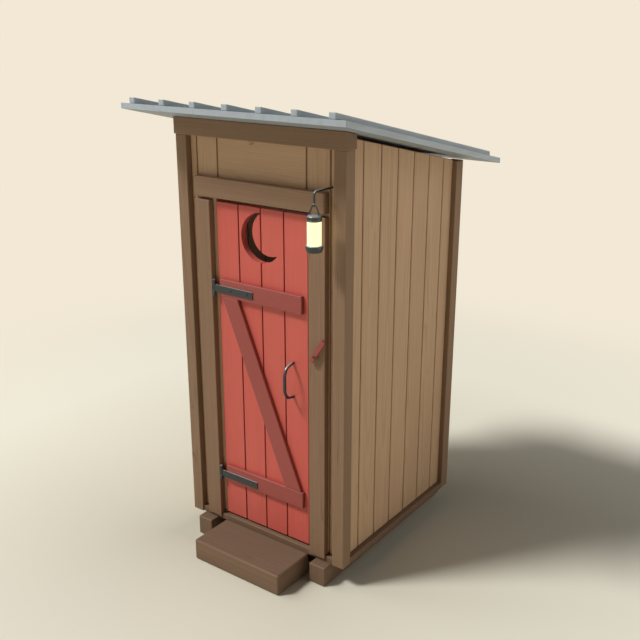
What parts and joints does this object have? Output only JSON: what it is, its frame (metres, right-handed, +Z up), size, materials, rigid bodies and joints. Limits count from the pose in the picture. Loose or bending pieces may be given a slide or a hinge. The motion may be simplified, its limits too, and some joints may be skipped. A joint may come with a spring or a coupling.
{
  "type": "wooden outhouse",
  "caption": "Small board-sided privy on two skids, with a sloping ribbed roof, a red ledged door with a crescent moon cut-out, strap hinges, turn-button latch and hanging lantern.",
  "frame": {"origin": "on the ground, in the middle of the outline from the step's front edge to the roof's back edge and between the roof's sides", "axes": "+Z up, +X to the right as one faces the door, -Y out of the door; the door and the step are on the -Y side"},
  "size_m": [1.38, 1.558, 2.5145],
  "materials": {
    "weathered_framing": "brown stain, weathered, matte",
    "platform_planks": "brown stain, worn by feet, matte",
    "step_timber": "brown stain, worn on top, matte",
    "wall_boards": "light brown stain, weathered boards, matte",
    "trim_boards": "brown stain, planed boards, matte",
    "roof_cladding": "boards under thin grey coated sheet steel, satin",
    "red_door_paint": "faded red paint, matte",
    "red_ledge_paint": "faded red paint, matte",
    "black_iron": "black forged iron, satin",
    "lantern_glass": "opal glass, lit from inside, gloss"
  },
  "bodies": {
    "house": {"skid_left": "weathered_framing", "skid_right": "weathered_framing", "post_front_left": "weathered_framing", "post_front_right": "weathered_framing", "post_back_left": "weathered_framing", "post_back_right": "weathered_framing", "top_beam": "weathered_framing", "rafter_left": "weathered_framing", "rafter_middle": "weathered_framing", "rafter_right": "weathered_framing", "front_ledger": "weathered_framing", "back_ledger": "weathered_framing", "floor_platform": "platform_planks", "step": "step_timber", "front_wall_left": "wall_boards", "front_wall_right": "wall_boards", "front_wall_over_door": "wall_boards", "side_wall_left": "wall_boards", "side_wall_right": "wall_boards", "back_wall": "wall_boards", "header_trim": "trim_boards", "jamb_left": "trim_boards", "jamb_right": "trim_boards", "roof_panel": "roof_cladding", "roof_ribs": "roof_cladding", "hinge_leaf_upper": "black_iron", "hinge_leaf_lower": "black_iron", "hinge_pin_upper": "black_iron", "hinge_pin_lower": "black_iron", "latch_pin": "black_iron", "lantern_bracket": "black_iron"},
    "door": {"door_leaf": "red_door_paint", "door_ledge_upper": "red_ledge_paint", "door_ledge_lower": "red_ledge_paint", "door_brace": "red_ledge_paint", "hinge_strap_upper": "black_iron", "hinge_strap_lower": "black_iron", "door_handle": "black_iron"},
    "latch": {"latch_bar": "red_ledge_paint"},
    "lantern": {"lantern_bail": "black_iron", "lantern_cap": "black_iron", "lantern_globe": "lantern_glass", "lantern_base": "black_iron"}
  },
  "joints": [
    {"name": "door_hinge", "type": "hinge", "parent": "house", "child": "door", "pos_m": [-0.3095, -0.5165, 0.982], "axis": [0, 0, -1], "range_deg": [0, 105]},
    {"name": "latch_turn", "type": "hinge", "parent": "house", "child": "latch", "pos_m": [0.37, -0.5397, 1.296], "axis": [0, 1, 0], "range_deg": [-122, 58]},
    {"name": "lantern_swing", "type": "hinge", "parent": "house", "child": "lantern", "pos_m": [0.434, -0.624, 2.08], "axis": [1, 0, 0], "range_deg": [-45, 12]}
  ]
}
